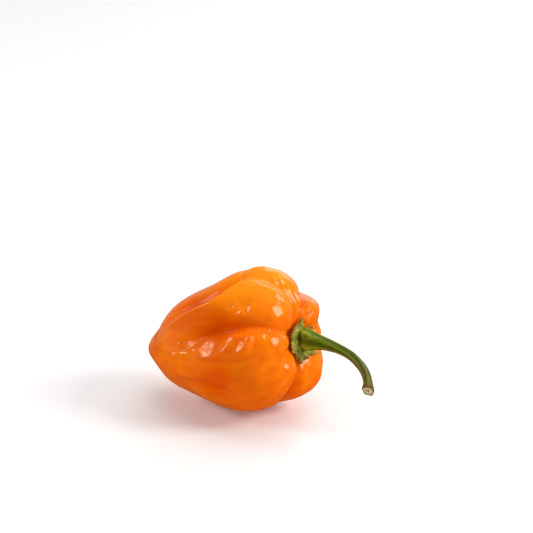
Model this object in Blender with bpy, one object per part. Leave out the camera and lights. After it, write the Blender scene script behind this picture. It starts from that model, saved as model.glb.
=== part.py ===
"""An orange habanero pepper, as picked, lying on its side: the pod, its calyx and its stem.

Sizes are in millimetres and angles in degrees, and metres are made where a mesh is made.
The pod has its own frame: X runs along its axis from the tip, at 0, towards the stem, and an
angle round the axis is 0 on top, 90 in front (-Y), 180 underneath and 270 behind.
A place on the skin is (along, around): the share of the way over the skin from the tip, at 0,
to the middle of the calyx, at 1, and the angle round the axis.
"""

import math

import bmesh
import bpy
import numpy as np

MM = 0.001

# How the pod lies: its axis rises towards the stem, and its weight is over the origin.
POD_PITCH = 10.0
POD_OVER_ORIGIN = 28.0
POD_AXIS_HEIGHT = 18.0

# What grows against its neighbour keeps this clear of it.
GAP = 0.32

# The tip hangs a little below the axis: how far, and the length that the bend takes.
TIP_DROOP = 2.2
TIP_BEND = 24.0

# The pod's outline before its lobes: distance from the tip, and radius.
PROFILE = (
    (0.0, 0.0),
    (0.7, 2.6),
    (4.2, 6.9),
    (11.0, 12.0),
    (19.0, 16.4),
    (27.0, 18.9),
    (34.0, 19.4),
    (40.0, 17.8),
    (44.6, 14.0),
    (46.6, 9.8),
    (46.1, 6.2),
    (44.7, 3.4),
    (44.3, 0.0),
)

# Furrows between the lobes and folds in them. Each has a path of
# (along, around, depth, width), and how round its bottom is.
FURROWS = {
    "front": (
        (
            (0.95, 45, 1.0, 2.0),
            (0.90, 52, 1.5, 2.2),
            (0.81, 57, 1.5, 2.6),
            (0.73, 57, 2.0, 3.5),
            (0.63, 60, 3.2, 5.0),
            (0.57, 62, 3.6, 6.0),
            (0.52, 67, 3.2, 6.0),
            (0.45, 71, 2.2, 6.0),
            (0.39, 74, 1.4, 5.0),
            (0.30, 78, 0.2, 4.0),
        ),
        0.3,
    ),
    "top": (
        (
            (0.95, 26, 1.0, 2.0),
            (0.89, 12, 1.2, 2.2),
            (0.85, 6, 1.2, 2.5),
            (0.79, 3, 1.1, 2.6),
            (0.69, 6, 1.0, 3.2),
            (0.60, 6, 1.6, 4.0),
            (0.56, 12, 2.8, 4.5),
            (0.51, 23, 3.4, 5.0),
            (0.43, 28, 3.0, 4.5),
            (0.34, 33, 2.4, 4.2),
            (0.24, 44, 1.0, 3.5),
            (0.18, 54, 0.2, 3.0),
        ),
        0.3,
    ),
    "pinch": (
        (
            (0.60, 8, 0.5, 2.0),
            (0.57, 1, 1.0, 2.2),
            (0.56, -8, 0.8, 2.5),
            (0.57, -20, 0.2, 3.0),
        ),
        0.4,
    ),
    "back upper": (
        (
            (0.95, -20, 1.2, 2.0),
            (0.91, -22, 2.0, 2.5),
            (0.88, -25, 2.6, 3.0),
            (0.83, -32, 3.0, 3.5),
            (0.80, -38, 3.2, 4.0),
            (0.75, -46, 3.0, 5.0),
            (0.60, -50, 2.4, 6.0),
            (0.45, -50, 2.0, 6.0),
            (0.30, -50, 1.0, 5.0),
        ),
        0.3,
    ),
    "front lower": (
        (
            (0.95, 88, 0.8, 1.6),
            (0.89, 93, 1.4, 2.0),
            (0.86, 92, 1.3, 2.2),
            (0.82, 95, 1.0, 2.6),
            (0.76, 101, 0.5, 3.0),
            (0.70, 104, 0.2, 3.0),
        ),
        0.3,
    ),
    "bottom": (
        (
            (0.95, 140, 1.4, 2.0),
            (0.92, 152, 2.2, 2.6),
            (0.89, 153, 3.0, 3.0),
            (0.85, 155, 3.4, 3.4),
            (0.80, 158, 3.6, 4.0),
            (0.75, 162, 3.2, 4.0),
            (0.70, 168, 2.6, 4.5),
            (0.66, 174, 1.8, 4.5),
            (0.62, 180, 0.6, 4.0),
        ),
        0.3,
    ),
    "under": (
        (
            (0.93, 168, 0.3, 1.5),
            (0.89, 178, 0.6, 2.0),
            (0.85, 181, 0.7, 2.4),
            (0.79, 180, 0.8, 3.0),
            (0.72, 186, 0.3, 3.0),
        ),
        0.4,
    ),
    "under back": (
        (
            (0.86, 214, 0.3, 3.0),
            (0.80, 216, 0.9, 3.5),
            (0.70, 218, 1.2, 5.0),
            (0.50, 218, 1.2, 6.0),
            (0.35, 214, 0.4, 5.0),
        ),
        0.4,
    ),
    "back lower": (
        (
            (0.95, 262, 1.2, 2.0),
            (0.90, 272, 1.6, 3.0),
            (0.84, 277, 1.6, 4.0),
            (0.78, 276, 1.8, 5.0),
            (0.65, 268, 2.2, 6.0),
            (0.50, 262, 2.0, 7.0),
            (0.35, 256, 1.2, 6.0),
            (0.26, 252, 0.4, 5.0),
        ),
        0.3,
    ),
    "back": (
        (
            (0.80, 312, 0.3, 3.0),
            (0.70, 312, 0.9, 5.0),
            (0.55, 308, 1.0, 6.0),
            (0.40, 305, 0.4, 6.0),
        ),
        0.4,
    ),
    "belly": (
        (
            (0.31, 112, 0.2, 3.0),
            (0.40, 110, 1.0, 3.5),
            (0.46, 110, 1.8, 4.0),
            (0.52, 113, 2.2, 4.5),
            (0.56, 116, 1.7, 4.5),
            (0.64, 124, 0.2, 4.0),
        ),
        0.4,
    ),
    "crease": (
        (
            (0.69, 64, 0.2, 1.5),
            (0.66, 69, 0.6, 1.6),
            (0.63, 75, 0.8, 1.8),
            (0.61, 82, 0.2, 1.8),
        ),
        0.4,
    ),
}

# Where furrows meet, the deepest prevails: 1 would add them up.
FURROW_BLEND = 3

# How far apart the stretches of a path may be from a place to shape it together.
FOLD_SOFTNESS = 0.7

# Crests of folds, as paths of (along, around, height, width), and how round their tops are.
CRESTS = {
    "upper": (
        (
            (0.20, 60, 0.1, 3.0),
            (0.26, 55, 0.7, 3.0),
            (0.35, 48, 0.9, 3.0),
            (0.43, 44, 0.9, 3.0),
            (0.52, 38, 0.8, 3.0),
            (0.56, 28, 0.8, 3.0),
            (0.60, 16, 0.2, 3.0),
        ),
        0.5,
    ),
    "middle": (
        (
            (0.66, 64, 0.1, 2.2),
            (0.63, 68, 0.8, 2.4),
            (0.61, 73, 1.1, 2.4),
            (0.59, 78, 1.0, 2.4),
            (0.55, 81, 0.8, 2.4),
            (0.50, 82, 0.2, 2.4),
        ),
        0.5,
    ),
    "middle short": (
        (
            (0.71, 64, 0.1, 2.0),
            (0.68, 68, 0.6, 2.2),
            (0.66, 75, 0.8, 2.2),
            (0.64, 81, 0.5, 2.2),
            (0.62, 87, 0.1, 2.2),
        ),
        0.5,
    ),
    "middle left": (
        (
            (0.46, 78, 0.1, 2.2),
            (0.41, 80, 0.5, 2.2),
            (0.36, 82, 0.6, 2.2),
            (0.30, 82, 0.4, 2.2),
            (0.26, 81, 0.1, 2.2),
        ),
        0.5,
    ),
    "lower": (
        (
            (0.21, 108, 0.1, 3.0),
            (0.27, 107, 0.5, 3.0),
            (0.34, 105, 0.7, 3.0),
            (0.41, 102, 0.8, 3.0),
            (0.49, 102, 0.9, 3.0),
            (0.55, 105, 0.7, 3.0),
            (0.60, 110, 0.2, 3.0),
        ),
        0.5,
    ),
}

# Swellings, and hollows where the height is below 0: along, around, height, half length,
# half width, and the turn of the length away from the axis.
SWELLINGS = (
    (0.04, 80, 0.7, 3.0, 3.0, 0),
    (0.11, 25, -0.7, 4.0, 4.0, 0),
    (0.22, 130, 0.55, 5.0, 5.0, 0),
    (0.06, 10, 0.35, 3.0, 4.0, 0),
    (0.65, 40, -1.0, 4.2, 2.8, 20),
    (0.40, -4, -1.6, 8.0, 9.0, 0),
    (0.60, -10, 0.4, 4.0, 5.0, 0),
    (0.70, -10, 0.6, 6.0, 6.0, 0),
    (0.79, -68, 1.6, 6.0, 9.0, 0),
    (0.81, 242, -0.6, 5.0, 4.0, 0),
    (0.82, 216, 1.5, 5.0, 4.5, 0),
    (0.78, 200, 1.0, 5.0, 6.0, 0),
    (0.87, 140, 0.7, 4.0, 3.5, 0),
    (0.66, 172, -1.1, 5.0, 6.0, 0),
    (0.56, 162, -1.0, 8.0, 6.0, 0),
    (0.44, 180, 0.4, 6.0, 5.0, 0),
    (0.38, 142, -0.5, 6.0, 5.0, 0),
)

POD_ROWS = 46
POD_COLUMNS = 76

# The calyx, a ragged collar that lies in the pod's hollow end: its rim without teeth, its
# thickness, the floor of the hollow, how far it sinks into the furrows, and its teeth as
# (angle round the axis, reach past the rim, half width) with sides that curve in by the power
# CALYX_TOOTH_CURVE.
CALYX_RADIUS = 4.5
CALYX_THICKNESS = 0.7
CALYX_FLOOR = 45.1
CALYX_SINK = 0.8
CALYX_TEETH = (
    (-26, 1.9, 24),
    (54, 1.4, 18),
    (102, 0.5, 18),
    (172, 1.2, 24),
    (224, 2.1, 22),
    (287, 2.3, 24),
)
CALYX_TOOTH_CURVE = 1.2
CALYX_COLUMNS = 60
CALYX_RINGS = (0.3, 0.5, 0.65, 0.78, 0.9, 0.97)
CALYX_STEP_OUT = 0.02
CALYX_STEP_ROUND = 1.0

# The stem: its length, how much it bends, which way, how fast the bend comes on, how far its
# foot stands off the pod's axis on the other side, how far it then steps that way and over what
# length, its radius at lengths along it, and its ribs.
STEM_LENGTH = 30.7
STEM_BEND = 75.0
STEM_BEND_TOWARDS = (0.08, -0.89, -0.45)
STEM_BEND_ONSET = 1.25
STEM_OFF_AXIS = 1.1
STEM_STEP = 2.0
STEM_STEP_OVER = 5.0
STEM_RADII = (
    (0.0, 2.55),
    (0.5, 2.85),
    (1.8, 2.7),
    (3.6, 2.2),
    (5.8, 1.75),
    (9.3, 1.38),
    (15.0, 1.15),
    (24.0, 1.12),
    (28.0, 1.18),
    (30.0, 1.5),
    (30.7, 1.45),
)
STEM_RIBS = 5
STEM_RIB_DEPTH = 0.06
STEM_COLUMNS = 30
STEM_RINGS = 36
STEM_FINE_STEPS = 560

# Colours as seen in daylight, as red, green and blue from 0 to 255, and roughness.
SKIN_FINISH = ((240, 112, 10), 0.3)
CALYX_FINISH = ((99, 88, 24), 0.65)
STEM_FINISH = ((84, 104, 28), 0.5)


def smooth_through(points, per_span=12):
    """Rows of a smooth curve through the points, each a row of as many numbers as they have."""
    p = np.array(points, float)
    padded = np.vstack([2 * p[0] - p[1], p, 2 * p[-1] - p[-2]])
    t = np.linspace(0, 1, per_span, endpoint=False)[:, None]
    spans = []
    for a, b, c, d in zip(padded, padded[1:], padded[2:], padded[3:]):
        bend = 2 * a - 5 * b + 4 * c - d
        twist = 3 * b - a - 3 * c + d
        spans.append(b + t * ((c - a) + t * (bend + t * twist)) / 2)
    return np.vstack([*spans, p[-1]])


def profile_table():
    """The outline as dense rows of share of its length, distance from the tip and radius."""
    line = smooth_through(PROFILE, 40)
    line[:, 1] = np.maximum(line[:, 1], 0)
    steps = np.linalg.norm(np.diff(line, axis=0), axis=1)
    share = np.concatenate([[0], np.cumsum(steps)]) / steps.sum()
    return np.column_stack([share, line])


OUTLINE = profile_table()
AXIS = np.array([1.0, 0.0, 0.0])


def round_axis(around):
    """Directions out from the axis, at these angles round it."""
    turn = np.radians(around)
    return np.stack([np.zeros_like(turn), -np.sin(turn), np.cos(turn)], axis=-1)


def smooth_skin(along, around):
    """Points and outward normals of the pod before its lobes."""
    along, around = np.broadcast_arrays(np.asarray(along, float), np.asarray(around, float))
    share, x, r = OUTLINE.T
    slope_x = np.interp(along, share, np.gradient(x, share))[..., None]
    slope_r = np.interp(along, share, np.gradient(r, share))[..., None]
    out = round_axis(around)
    points = np.interp(along, share, x)[..., None] * AXIS + np.interp(along, share, r)[..., None] * out
    normals = slope_x * out - slope_r * AXIS
    return points, normals / np.linalg.norm(normals, axis=-1, keepdims=True)


def fold_height(points, path, roundness):
    """The height of a fold at these points: its crest follows the path and its sides ease out."""
    rows = smooth_through(path, 6)
    line, _ = smooth_skin(rows[:, 0], rows[:, 1])
    distances = []
    heights = []
    widths = []
    for here, ahead, row, next_row in zip(line, line[1:], rows, rows[1:]):
        span = ahead - here
        t = np.clip((points - here) @ span / (span @ span), 0, 1)
        distances.append(np.linalg.norm(points - here - t[:, None] * span, axis=1))
        heights.append(row[2] + t * (next_row[2] - row[2]))
        widths.append(row[3] + t * (next_row[3] - row[3]))
    distances = np.stack(distances)
    nearest = distances.min(axis=0)
    weights = np.exp((nearest - distances) / FOLD_SOFTNESS)
    weights /= weights.sum(axis=0)
    height = (weights * heights).sum(axis=0)
    width = (weights * widths).sum(axis=0)
    blunt = roundness * width
    return height * np.exp(-2 * (np.hypot(nearest, blunt) - blunt) / width)


def swelling_height(points, along, around, height, length, width, turn):
    """How far a swelling raises the skin at these points: a smooth oval mound."""
    centre, normal = smooth_skin(along, around)
    ahead, _ = smooth_skin(along + 0.01, around)
    forward = ahead - centre
    forward -= forward @ normal * normal
    forward /= np.linalg.norm(forward)
    side = np.cross(normal, forward)
    c = math.cos(math.radians(turn))
    s = math.sin(math.radians(turn))
    offset = points - centre
    u = offset @ (c * forward + s * side) / length
    v = offset @ (c * side - s * forward) / width
    w = offset @ normal / max(length, width)
    return height * np.exp(-(u * u + v * v + w * w))


def pod_skin(along, around):
    """Points of the pod's skin, lobes and all, in its own frame."""
    shape = np.broadcast(along, around).shape
    points, normals = smooth_skin(along, around)
    points = points.reshape(-1, 3)
    normals = normals.reshape(-1, 3)
    depths = np.stack([np.maximum(fold_height(points, *furrow), 0) for furrow in FURROWS.values()])
    rise = -np.sum(depths**FURROW_BLEND, axis=0) ** (1 / FURROW_BLEND)
    for crest in CRESTS.values():
        rise += fold_height(points, *crest)
    for swelling in SWELLINGS:
        rise += swelling_height(points, *swelling)
    skin = points + rise[:, None] * normals
    skin[:, 2] -= TIP_DROOP * np.clip(1 - skin[:, 0] / TIP_BEND, 0, None) ** 2
    return skin.reshape(*shape, 3)


def to_world(points):
    """Points of the pod's frame, where it lies: tilted so that the stem end is the higher."""
    c = math.cos(math.radians(POD_PITCH))
    s = math.sin(math.radians(POD_PITCH))
    x, y, z = np.moveaxis(np.asarray(points, float), -1, 0)
    x = x - POD_OVER_ORIGIN
    return np.stack([x * c - z * s, y, x * s + z * c + POD_AXIS_HEIGHT], axis=-1)


def calyx_seat(r, around):
    """How far along the axis the calyx's underside lies, this far out from the axis."""
    share, x, radius = OUTLINE.T
    end = share > share[np.argmax(x)]
    along = np.interp(r, radius[end][::-1], share[end][::-1])
    skin = pod_skin(along, around)[..., 0]
    smooth = np.interp(along, share, x) - CALYX_SINK
    return np.maximum(np.maximum(skin, smooth), CALYX_FLOOR) + GAP


def calyx_rim(around):
    """How far out the calyx's ragged rim is, at these angles."""
    radius = np.full(np.shape(around), CALYX_RADIUS)
    for middle, reach, half_width in CALYX_TEETH:
        off = np.abs((around - middle + 180) % 360 - 180) / half_width
        radius += reach * np.clip(1 - off, 0, None) ** CALYX_TOOTH_CURVE
    return radius


def calyx_sheet(out, around):
    """Points half way through the calyx: out is 0 at its middle and 1 at its rim."""
    r = out * calyx_rim(around)
    x = calyx_seat(r, around) + CALYX_THICKNESS / 2
    return x[..., None] * AXIS + r[..., None] * round_axis(around)


def calyx_sides(out, around):
    """The calyx's underside and upper side, half its thickness either way from its sheet."""
    outward = calyx_sheet(out + CALYX_STEP_OUT, around) - calyx_sheet(out - CALYX_STEP_OUT, around)
    before = calyx_sheet(out, around - CALYX_STEP_ROUND)
    sideways = calyx_sheet(out, around + CALYX_STEP_ROUND) - before
    normal = np.cross(sideways, outward)
    normal /= np.linalg.norm(normal, axis=-1, keepdims=True)
    middle = calyx_sheet(out, around)
    return middle - normal * CALYX_THICKNESS / 2, middle + normal * CALYX_THICKNESS / 2


def unit(vector):
    """The vector at length 1."""
    return vector / np.linalg.norm(vector)


def stem_route(places):
    """The stem's middle line at these lengths along it, with the two directions across it."""
    root = CALYX_FLOOR + CALYX_THICKNESS + 2 * GAP
    start = to_world(root * AXIS)
    ahead = unit(to_world((root + 1) * AXIS) - start)
    towards = np.array(STEM_BEND_TOWARDS)
    across = unit(towards - towards @ ahead * ahead)
    beside = np.cross(ahead, across)
    fine = np.linspace(0, STEM_LENGTH, STEM_FINE_STEPS + 1)
    turn = np.radians(STEM_BEND) * (fine / STEM_LENGTH) ** STEM_BEND_ONSET
    forward = np.cos(turn)[:, None] * ahead + np.sin(turn)[:, None] * across
    steps = (forward[1:] + forward[:-1]) / 2 * np.diff(fine)[:, None]
    line = start + np.vstack([np.zeros(3), np.cumsum(steps, axis=0)])
    step = STEM_STEP * (1 - np.exp(-fine / STEM_STEP_OVER)) - STEM_OFF_AXIS
    line += step[:, None] * across
    turn = np.interp(places, fine, turn)[:, None]
    points = np.stack([np.interp(places, fine, line[:, k]) for k in range(3)], axis=-1)
    return points, np.cos(turn) * across - np.sin(turn) * ahead, np.broadcast_to(beside, points.shape)


def stem_skin(places, around):
    """Points of the stem's ribbed skin, at these lengths along it and angles round it."""
    points, out, beside = stem_route(places)
    profile = smooth_through(STEM_RADII)
    radius = np.interp(places, profile[:, 0], profile[:, 1])[:, None]
    turn = np.radians(around)[None, :]
    radius = radius * (1 + STEM_RIB_DEPTH * np.cos(STEM_RIBS * turn))
    spokes = np.cos(turn)[..., None] * out[:, None, :] + np.sin(turn)[..., None] * beside[:, None, :]
    return points[:, None, :] + radius[..., None] * spokes


def clear_scene():
    """Take away whatever the scene holds."""
    for thing in list(bpy.data.objects):
        bpy.data.objects.remove(thing, do_unlink=True)


def finish(name, colour, roughness):
    """A plain material of this colour."""
    material = bpy.data.materials.new(name)
    material.use_nodes = True
    shader = material.node_tree.nodes["Principled BSDF"]
    linear = [((c / 255 + 0.055) / 1.055) ** 2.4 for c in colour]
    shader.inputs["Base Color"].default_value = (*linear, 1.0)
    shader.inputs["Roughness"].default_value = roughness
    shader.inputs["Metallic"].default_value = 0.0
    return material


def ringed_body(name, rings, first_end, last_end, material):
    """A closed body through rings of points, drawn in to one point at each end."""
    bm = bmesh.new()
    loops = [[bm.verts.new(point * MM) for point in ring] for ring in rings]
    columns = len(loops[0])
    for near, far in zip(loops, loops[1:]):
        for j in range(columns):
            k = (j + 1) % columns
            bm.faces.new((near[j], near[k], far[k], far[j]))
    for end, loop in ((first_end, loops[0]), (last_end, loops[-1])):
        middle = bm.verts.new(end * MM)
        for j in range(columns):
            bm.faces.new((loop[j], loop[(j + 1) % columns], middle))
    bmesh.ops.recalc_face_normals(bm, faces=bm.faces)
    mesh = bpy.data.meshes.new(name)
    bm.to_mesh(mesh)
    bm.free()
    mesh.shade_smooth()
    mesh.materials.append(material)
    body = bpy.data.objects.new(name, mesh)
    bpy.context.scene.collection.objects.link(body)
    return body


def angles(columns):
    """Equal steps round the axis."""
    return np.arange(columns) * 360 / columns


def make_fruit():
    """The pod, flat where it rests."""
    around = angles(POD_COLUMNS)
    along = (np.arange(POD_ROWS) + 0.5)[:, None] / POD_ROWS
    rings = to_world(pod_skin(along, around[None, :]))
    rings[..., 2] = np.maximum(rings[..., 2], 0)
    ends = rings[0].mean(axis=0), rings[-1].mean(axis=0)
    return ringed_body("fruit", rings, *ends, finish("fruit_skin", *SKIN_FINISH))


def make_calyx():
    """The calyx: its underside from the middle out, its rim, and its upper side back in."""
    around = angles(CALYX_COLUMNS)[None, :]
    out = np.array(CALYX_RINGS)[:, None]
    under, upper = calyx_sides(out + 0 * around, around + 0 * out)
    rim = calyx_sheet(1 + 0 * around, around)
    rings = to_world(np.vstack([under, rim, upper[::-1]]))
    ends = rings[0].mean(axis=0), rings[-1].mean(axis=0)
    return ringed_body("calyx", rings, *ends, finish("calyx_leaf", *CALYX_FINISH))


def make_stem():
    """The stem, from its flared foot on the calyx to its cut end."""
    rings = stem_skin(np.linspace(0, STEM_LENGTH, STEM_RINGS), angles(STEM_COLUMNS))
    ends = rings[0].mean(axis=0), rings[-1].mean(axis=0)
    return ringed_body("stem", rings, *ends, finish("stem_bark", *STEM_FINISH))


clear_scene()
make_fruit()
make_calyx()
make_stem()
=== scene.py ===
"""An orange habanero pepper on a pale floor, seen as in the photograph.

The pod, the calyx and the stem are each made again with a far finer skin than the CAD solids,
from the same measures. Lengths are in millimetres and angles in degrees, and metres are made
where a mesh is made. A place on the pod's skin is (along, around): the share of the way over
the skin from the tip, at 0, to the middle of the calyx, at 1, and the angle round the pod's
axis, which is 0 on top, 90 in front, 180 underneath and 270 behind.
"""

import math

import bpy
import numpy as np
from mathutils import Matrix, Vector, noise


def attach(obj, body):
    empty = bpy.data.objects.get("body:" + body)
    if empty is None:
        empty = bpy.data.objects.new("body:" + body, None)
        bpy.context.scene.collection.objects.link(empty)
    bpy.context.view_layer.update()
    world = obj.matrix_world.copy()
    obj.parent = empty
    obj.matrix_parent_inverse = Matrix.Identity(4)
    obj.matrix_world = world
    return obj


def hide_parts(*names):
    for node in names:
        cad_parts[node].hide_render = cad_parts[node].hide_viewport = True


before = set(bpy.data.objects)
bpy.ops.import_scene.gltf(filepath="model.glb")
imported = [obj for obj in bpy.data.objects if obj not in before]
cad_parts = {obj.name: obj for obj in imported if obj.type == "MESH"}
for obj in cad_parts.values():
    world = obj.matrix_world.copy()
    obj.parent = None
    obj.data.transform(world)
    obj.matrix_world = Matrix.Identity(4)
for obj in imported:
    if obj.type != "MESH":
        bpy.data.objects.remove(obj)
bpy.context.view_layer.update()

MM = 0.001

# How the pod lies: its axis rises towards the stem, and its weight is over the origin.
POD_PITCH = 10.0
POD_OVER_ORIGIN = 28.0
POD_AXIS_HEIGHT = 18.0
GAP = 0.1

TIP_DROOP = 2.2
TIP_BEND = 24.0

# The pod's outline before its lobes: distance from the tip, and radius.
PROFILE = (
    (0.0, 0.0), (0.7, 2.6), (4.2, 6.9), (11.0, 12.0), (19.0, 16.4), (27.0, 18.9), (34.0, 19.4),
    (40.0, 17.8), (44.6, 14.0), (46.6, 9.8), (46.1, 6.2), (44.7, 3.4), (44.3, 0.0),
)

# How many steps a curve takes between two of its points
PROFILE_STEPS = 40
PATH_STEPS = 6
STEM_STEPS = 12

# Furrows between the lobes and folds in them, as paths of (along, around, depth, width), and
# how round the bottom of each is. They are the CAD solid's own.
FURROWS = (
    (((0.95, 45, 1.0, 2.0), (0.90, 52, 1.5, 2.2), (0.81, 57, 1.5, 2.6), (0.73, 57, 2.0, 3.5),
      (0.63, 60, 3.2, 5.0), (0.57, 62, 3.6, 6.0), (0.52, 67, 3.2, 6.0), (0.45, 71, 2.2, 6.0),
      (0.39, 74, 1.4, 5.0), (0.30, 78, 0.2, 4.0)), 0.3),
    (((0.95, 26, 1.0, 2.0), (0.89, 12, 1.2, 2.2), (0.85, 6, 1.2, 2.5), (0.79, 3, 1.1, 2.6),
      (0.69, 6, 1.0, 3.2), (0.60, 6, 1.6, 4.0), (0.56, 12, 2.8, 4.5), (0.51, 23, 3.4, 5.0),
      (0.43, 28, 3.0, 4.5), (0.34, 33, 2.4, 4.2), (0.24, 44, 1.0, 3.5), (0.18, 54, 0.2, 3.0)), 0.3),
    (((0.60, 8, 0.5, 2.0), (0.57, 1, 1.0, 2.2), (0.56, -8, 0.8, 2.5), (0.57, -20, 0.2, 3.0)), 0.4),
    (((0.95, -20, 1.2, 2.0), (0.91, -22, 2.0, 2.5), (0.88, -25, 2.6, 3.0), (0.83, -32, 3.0, 3.5),
      (0.80, -38, 3.2, 4.0), (0.75, -46, 3.0, 5.0), (0.60, -50, 2.4, 6.0), (0.45, -50, 2.0, 6.0),
      (0.30, -50, 1.0, 5.0)), 0.3),
    (((0.95, 88, 0.8, 1.6), (0.89, 93, 1.4, 2.0), (0.86, 92, 1.3, 2.2), (0.82, 95, 1.0, 2.6),
      (0.76, 101, 0.5, 3.0), (0.70, 104, 0.2, 3.0)), 0.3),
    (((0.95, 140, 1.4, 2.0), (0.92, 152, 2.2, 2.6), (0.89, 153, 3.0, 3.0), (0.85, 155, 3.4, 3.4),
      (0.80, 158, 3.6, 4.0), (0.75, 162, 3.2, 4.0), (0.70, 168, 2.6, 4.5), (0.66, 174, 1.8, 4.5),
      (0.62, 180, 0.6, 4.0)), 0.3),
    (((0.93, 168, 0.3, 1.5), (0.89, 178, 0.6, 2.0), (0.85, 181, 0.7, 2.4), (0.79, 180, 0.8, 3.0),
      (0.72, 186, 0.3, 3.0)), 0.4),
    (((0.86, 214, 0.3, 3.0), (0.80, 216, 0.9, 3.5), (0.70, 218, 1.2, 5.0), (0.50, 218, 1.2, 6.0),
      (0.35, 214, 0.4, 5.0)), 0.4),
    (((0.95, 262, 1.2, 2.0), (0.90, 272, 1.6, 3.0), (0.84, 277, 1.6, 4.0), (0.78, 276, 1.8, 5.0),
      (0.65, 268, 2.2, 6.0), (0.50, 262, 2.0, 7.0), (0.35, 256, 1.2, 6.0), (0.26, 252, 0.4, 5.0)), 0.3),
    (((0.80, 312, 0.3, 3.0), (0.70, 312, 0.9, 5.0), (0.55, 308, 1.0, 6.0), (0.40, 305, 0.4, 6.0)), 0.4),
    (((0.31, 112, 0.2, 3.0), (0.40, 110, 1.0, 3.5), (0.46, 110, 1.8, 4.0), (0.52, 113, 2.2, 4.5),
      (0.56, 116, 1.7, 4.5), (0.64, 124, 0.2, 4.0)), 0.4),
    (((0.69, 64, 0.2, 1.5), (0.66, 69, 0.6, 1.6), (0.63, 75, 0.8, 1.8), (0.61, 82, 0.2, 1.8)), 0.4),
)
FURROW_BLEND = 3
FOLD_SOFTNESS = 0.7
# A fold's side falls off this many times over its width, and ends this many widths away
FOLD_FALL = 2
FOLD_REACH = 4

# Crests of folds, given as the furrows are.
CRESTS = (
    (((0.20, 60, 0.1, 3.0), (0.26, 55, 0.7, 3.0), (0.35, 48, 0.9, 3.0), (0.43, 44, 0.9, 3.0),
      (0.52, 38, 0.8, 3.0), (0.56, 28, 0.8, 3.0), (0.60, 16, 0.2, 3.0)), 0.5),
    (((0.66, 64, 0.1, 2.2), (0.63, 68, 0.8, 2.4), (0.61, 73, 1.1, 2.4), (0.59, 78, 1.0, 2.4),
      (0.55, 81, 0.8, 2.4), (0.50, 82, 0.2, 2.4)), 0.5),
    (((0.71, 64, 0.1, 2.0), (0.68, 68, 0.6, 2.2), (0.66, 75, 0.8, 2.2), (0.64, 81, 0.5, 2.2),
      (0.62, 87, 0.1, 2.2)), 0.5),
    (((0.46, 78, 0.1, 2.2), (0.41, 80, 0.5, 2.2), (0.36, 82, 0.6, 2.2), (0.30, 82, 0.4, 2.2),
      (0.26, 81, 0.1, 2.2)), 0.5),
    (((0.21, 108, 0.1, 3.0), (0.27, 107, 0.5, 3.0), (0.34, 105, 0.7, 3.0), (0.41, 102, 0.8, 3.0),
      (0.49, 102, 0.9, 3.0), (0.55, 105, 0.7, 3.0), (0.60, 110, 0.2, 3.0)), 0.5),
)

# Swellings, and hollows where the height is below 0: along, around, height, half length,
# half width, and the turn of the length away from the axis.
SWELLINGS = (
    (0.04, 80, 0.7, 3.0, 3.0, 0), (0.11, 25, -0.7, 4.0, 4.0, 0), (0.22, 130, 0.55, 5.0, 5.0, 0),
    (0.65, 40, -1.0, 4.2, 2.8, 20), (0.40, -4, -1.6, 8.0, 9.0, 0), (0.60, -10, 0.4, 4.0, 5.0, 0),
    (0.70, -10, 0.6, 6.0, 6.0, 0), (0.79, -68, 1.6, 6.0, 9.0, 0), (0.81, 242, -0.6, 5.0, 4.0, 0),
    (0.82, 216, 1.5, 5.0, 4.5, 0), (0.78, 200, 1.0, 5.0, 6.0, 0), (0.87, 140, 0.7, 4.0, 3.5, 0),
    (0.66, 172, -1.1, 5.0, 6.0, 0), (0.56, 162, -1.0, 8.0, 6.0, 0), (0.44, 180, 0.4, 6.0, 5.0, 0),
    (0.38, 142, -0.5, 6.0, 5.0, 0), (0.06, 10, 0.35, 3.0, 4.0, 0),
)

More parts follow.
